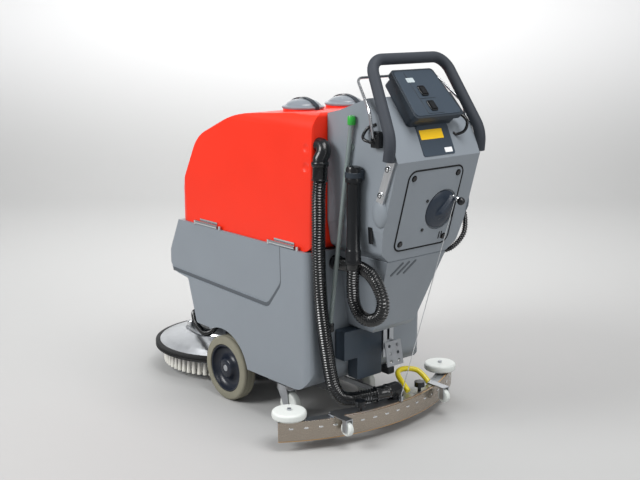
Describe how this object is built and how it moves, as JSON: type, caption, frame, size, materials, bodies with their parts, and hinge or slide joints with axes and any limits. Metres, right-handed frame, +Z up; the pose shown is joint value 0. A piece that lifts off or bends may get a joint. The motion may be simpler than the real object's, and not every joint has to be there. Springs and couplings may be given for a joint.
{
  "type": "walk-behind scrubber dryer",
  "caption": "Walk-behind floor scrubber dryer with a disc brush deck, tipping recovery tank, lifting curved squeegee and push handle.",
  "frame": {"origin": "on the floor, under the middle of the machine's bounding box", "axes": "+X forward to the brush, +Y to the machine's left, +Z up"},
  "size_m": [1.2054, 0.696, 1.063],
  "materials": {
    "grey_moulding": "moulded satin",
    "red_moulding": "moulded gloss",
    "dark_moulding": "moulded matte",
    "slate_moulding": "moulded matte",
    "black_plastic": "moulded gloss",
    "hose_plastic": "corrugated",
    "grip_foam": "closed cell foam",
    "black_rubber": "moulded",
    "blade_rubber": "cast",
    "grey_tyre": "moulded",
    "hub_plastic": "moulded",
    "white_plastic": "moulded",
    "lid_plastic": "moulded",
    "zinc_steel": "zinc plated",
    "bright_steel": "polished",
    "stainless": "brushed",
    "satin_aluminium": "satin",
    "painted_frame": "powder coated",
    "motor_paint": "painted",
    "deck_casting": "cast",
    "battery_case": "moulded",
    "bristle_nylon": "nylon filament",
    "brush_plastic": "moulded",
    "yellow_coating": "dip coated",
    "clear_tube": "extruded"
  },
  "bodies": {
    "chassis": {"frame": "painted_frame", "lower_tank": "grey_moulding", "batteries": "battery_case", "drive_motor": "motor_paint", "drive_axle": "zinc_steel", "hinge_pins": "bright_steel", "column": "grey_moulding", "column_base": "grey_moulding", "suction_motor": "motor_paint", "cover_gasket": "black_rubber", "cover_panel": "grey_moulding", "panel_screws": "black_plastic", "handle_grip": "grip_foam", "handle_plates": "satin_aluminium", "control_box": "dark_moulding", "control_face": "slate_moulding", "sight_tube": "clear_tube", "drain_tube": "black_plastic", "drain_hose": "hose_plastic", "suction_hose": "hose_plastic", "side_hose": "hose_plastic", "bail_pivots": "black_plastic", "rear_box": "slate_moulding", "pedal_bracket": "zinc_steel"},
    "recovery_tank": {"recovery_tank": "red_moulding", "tank_elbow": "black_plastic", "tank_hinges": "bright_steel"},
    "left_lid": {"left_lid": "lid_plastic"},
    "right_lid": {"right_lid": "lid_plastic"},
    "left_wheel": {"left_tyre": "grey_tyre", "left_hub": "hub_plastic"},
    "right_wheel": {"right_tyre": "grey_tyre", "right_hub": "hub_plastic"},
    "left_castor": {"left_castor_fork": "zinc_steel"},
    "left_castor_roll": {"left_castor_wheel": "white_plastic"},
    "right_castor": {"right_castor_fork": "zinc_steel"},
    "right_castor_roll": {"right_castor_wheel": "white_plastic"},
    "brush_deck": {"deck_shell": "deck_casting", "deck_bumper": "black_rubber", "deck_bracket": "painted_frame", "brush_motor": "motor_paint", "water_hose": "hose_plastic"},
    "deck_arms": {"deck_arms": "painted_frame"},
    "pedal": {"pedal": "zinc_steel"},
    "brush": {"brush_plate": "brush_plastic", "bristles": "bristle_nylon"},
    "squeegee": {"squeegee_body": "zinc_steel", "squeegee_band": "stainless", "squeegee_blades": "blade_rubber", "squeegee_fittings": "black_plastic", "squeegee_handle": "yellow_coating"},
    "lift_dial": {"lift_dial": "slate_moulding"},
    "lift_cable": {"lift_cable": "bright_steel"},
    "left_roller": {"left_roller": "white_plastic"},
    "right_roller": {"right_roller": "white_plastic"},
    "left_guide": {"left_guide_wheel": "white_plastic"},
    "right_guide": {"right_guide_wheel": "white_plastic"},
    "bail": {"stop_bail": "bright_steel"},
    "upper_rocker": {"upper_switch": "black_plastic"},
    "lower_rocker": {"lower_switch": "black_plastic"}
  },
  "joints": [
    {"name": "tank_tip", "type": "hinge", "parent": "chassis", "child": "recovery_tank", "pos_m": [0.08074, 0.219, 0.537], "axis": [-1, 0, 0], "range_deg": [0, 75]},
    {"name": "left_lid_open", "type": "hinge", "parent": "recovery_tank", "child": "left_lid", "pos_m": [-0.19626, 0.08, 0.902], "axis": [0, -1, 0], "range_deg": [0, 100]},
    {"name": "right_lid_open", "type": "hinge", "parent": "recovery_tank", "child": "right_lid", "pos_m": [-0.19626, -0.08, 0.902], "axis": [0, -1, 0], "range_deg": [0, 100]},
    {"name": "left_wheel_spin", "type": "hinge", "parent": "chassis", "child": "left_wheel", "pos_m": [0.08074, 0.193, 0.1], "axis": [0, 1, 0], "continuous": true},
    {"name": "right_wheel_spin", "type": "hinge", "parent": "chassis", "child": "right_wheel", "pos_m": [0.08074, -0.193, 0.1], "axis": [0, 1, 0], "continuous": true},
    {"name": "left_castor_swivel", "type": "hinge", "parent": "chassis", "child": "left_castor", "pos_m": [-0.13426, 0.15, 0.08], "axis": [0, 0, 1], "continuous": true},
    {"name": "left_castor_spin", "type": "hinge", "parent": "left_castor", "child": "left_castor_roll", "pos_m": [-0.15626, 0.15, 0.0375], "axis": [0, 1, 0], "continuous": true},
    {"name": "right_castor_swivel", "type": "hinge", "parent": "chassis", "child": "right_castor", "pos_m": [-0.13426, -0.15, 0.08], "axis": [0, 0, 1], "continuous": true},
    {"name": "right_castor_spin", "type": "hinge", "parent": "right_castor", "child": "right_castor_roll", "pos_m": [-0.15626, -0.15, 0.0375], "axis": [0, 1, 0], "continuous": true},
    {"name": "deck_lift", "type": "slide", "parent": "chassis", "child": "brush_deck", "axis": [0, 0, -1], "range_m": [0, 0.02]},
    {"name": "deck_arm_swing", "type": "hinge", "parent": "chassis", "child": "deck_arms", "pos_m": [0.18074, 0, 0.17], "axis": [0, 1, 0], "range_deg": [0, 10]},
    {"name": "pedal_press", "type": "hinge", "parent": "chassis", "child": "pedal", "pos_m": [-0.37426, -0.038, 0.225], "axis": [0, -1, 0], "range_deg": [0, 20.5]},
    {"name": "brush_spin", "type": "hinge", "parent": "brush_deck", "child": "brush", "pos_m": [0.36574, 0, 0.06], "axis": [0, 0, 1], "continuous": true},
    {"name": "squeegee_drop", "type": "hinge", "parent": "chassis", "child": "squeegee", "pos_m": [-0.12426, 0, 0.085], "axis": [0, -1, 0], "range_deg": [0, 4.9]},
    {"name": "dial_turn", "type": "hinge", "parent": "chassis", "child": "lift_dial", "pos_m": [-0.54812, -0.049, 0.65234], "axis": [0.9659, 0, 0.2588], "range_deg": [0, 40.4]},
    {"name": "cable_travel", "type": "slide", "parent": "chassis", "child": "lift_cable", "axis": [0.1064, -0.1774, -0.9784], "range_m": [0, 0.0278]},
    {"name": "left_roller_spin", "type": "hinge", "parent": "squeegee", "child": "left_roller", "pos_m": [-0.33126, 0.3, 0.1], "axis": [0, 0, 1], "continuous": true},
    {"name": "right_roller_spin", "type": "hinge", "parent": "squeegee", "child": "right_roller", "pos_m": [-0.33126, -0.3, 0.1], "axis": [0, 0, 1], "continuous": true},
    {"name": "left_guide_spin", "type": "hinge", "parent": "squeegee", "child": "left_guide", "pos_m": [-0.44826, 0.192, 0.062], "axis": [0, 1, 0], "continuous": true},
    {"name": "right_guide_spin", "type": "hinge", "parent": "squeegee", "child": "right_guide", "pos_m": [-0.44826, -0.192, 0.062], "axis": [0, 1, 0], "continuous": true},
    {"name": "bail_pull", "type": "hinge", "parent": "chassis", "child": "bail", "pos_m": [-0.51914, 0, 0.86], "axis": [0, -1, 0], "range_deg": [0, 12], "stiffness_Nm_per_rad": 2, "springref_deg": -11.46},
    {"name": "upper_switch_rock", "type": "hinge", "parent": "chassis", "child": "upper_rocker", "pos_m": [-0.52732, 0.009, 0.96627], "axis": [0, 1, 0], "range_deg": [0, 12]},
    {"name": "lower_switch_rock", "type": "hinge", "parent": "chassis", "child": "lower_rocker", "pos_m": [-0.56118, 0.009, 0.93084], "axis": [0, 1, 0], "range_deg": [0, 12]}
  ],
  "couplings": [
    {"joint": "deck_arm_swing", "follows": "deck_lift", "rad_per_m": 8.3724},
    {"joint": "pedal_press", "follows": "deck_lift", "rad_per_m": 17.453},
    {"joint": "dial_turn", "follows": "squeegee_drop", "ratio": 8.225},
    {"joint": "cable_travel", "follows": "squeegee_drop", "m_per_rad": 0.3237}
  ]
}
